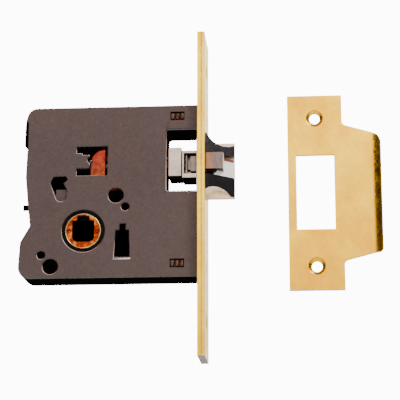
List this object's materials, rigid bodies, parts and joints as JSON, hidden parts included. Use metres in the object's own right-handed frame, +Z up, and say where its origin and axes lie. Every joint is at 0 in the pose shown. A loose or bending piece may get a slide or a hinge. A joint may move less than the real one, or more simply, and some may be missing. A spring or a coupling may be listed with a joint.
{
  "type": "mortise latch lock",
  "caption": "Interior mortise latch lock with a painted case, brass faceplate, bevelled latch with an anti-friction tongue, spindle hub and a loose brass lip strike plate.",
  "frame": {"origin": "centre of the faceplate's outer face, midway between the two wood-screw holes", "axes": "+X out of the door edge towards the jamb, -Y out of the cover, +Z up as installed"},
  "size_m": [0.1501, 0.023, 0.1374],
  "materials": {
    "case_paint": "satin brown-grey stove enamel",
    "brass": "polished and lacquered",
    "dull_brass": "plain machined",
    "steel": "plain, slightly tarnished",
    "latch_metal": "satin nickel",
    "dark_metal": "dark cast",
    "copper": "copper plated",
    "nylon": "black"
  },
  "bodies": {
    "case": {"case_cover": "case_paint", "case_tray": "case_paint", "inner_front": "dull_brass", "faceplate": "brass", "faceplate_screws": "brass", "upper_bracket": "steel", "lower_bracket": "steel", "trim_bushes": "steel", "cover_bush": "nylon", "tray_bush": "nylon", "hub_divider": "steel", "rod_guide": "steel", "guide_pin": "steel", "spring_seat": "steel", "retractor_spring": "steel", "latch_spring": "steel", "strike_plate": "brass"},
    "outer_hub": {"hub_outer": "dull_brass"},
    "inner_hub": {"hub_inner": "dull_brass"},
    "retractor": {"retractor": "copper"},
    "latch": {"latch_head": "latch_metal", "latch_wedge": "dark_metal", "latch_yoke": "latch_metal", "adjuster": "steel", "latch_tail": "latch_metal", "latch_rod": "steel", "rod_collar": "steel", "tongue_pin": "steel", "tongue_spring": "steel"},
    "tongue": {"antifriction_tongue": "steel"}
  },
  "joints": [
    {"name": "outer_hub_turn", "type": "hinge", "parent": "case", "child": "outer_hub", "pos_m": [-0.0505, 0, -0.0158], "axis": [0, -1, 0], "range_deg": [0, 38]},
    {"name": "inner_hub_turn", "type": "hinge", "parent": "case", "child": "inner_hub", "pos_m": [-0.0505, 0, -0.0158], "axis": [0, -1, 0], "range_deg": [0, 38]},
    {"name": "retractor_slide", "type": "slide", "parent": "case", "child": "retractor", "axis": [-1, 0, 0], "range_m": [0, 0.0116], "stiffness_N_per_m": 200, "springref_m": -0.01, "deforming": ["retractor_spring"]},
    {"name": "latch_slide", "type": "slide", "parent": "case", "child": "latch", "axis": [-1, 0, 0], "range_m": [0, 0.0116], "stiffness_N_per_m": 250, "springref_m": -0.015, "deforming": ["latch_spring"]},
    {"name": "tongue_tilt", "type": "hinge", "parent": "latch", "child": "tongue", "pos_m": [0.0016, 0.002, 0.0131], "axis": [0, 0, 1], "range_deg": [0, 6], "stiffness_Nm_per_rad": 0.01, "springref_deg": -17.19, "deforming": ["tongue_spring"]}
  ],
  "couplings": [
    {"joint": "inner_hub_turn", "follows": "outer_hub_turn", "ratio": 1},
    {"joint": "retractor_slide", "follows": "outer_hub_turn", "m_per_rad": 0.01749},
    {"joint": "latch_slide", "follows": "outer_hub_turn", "m_per_rad": 0.01749}
  ]
}
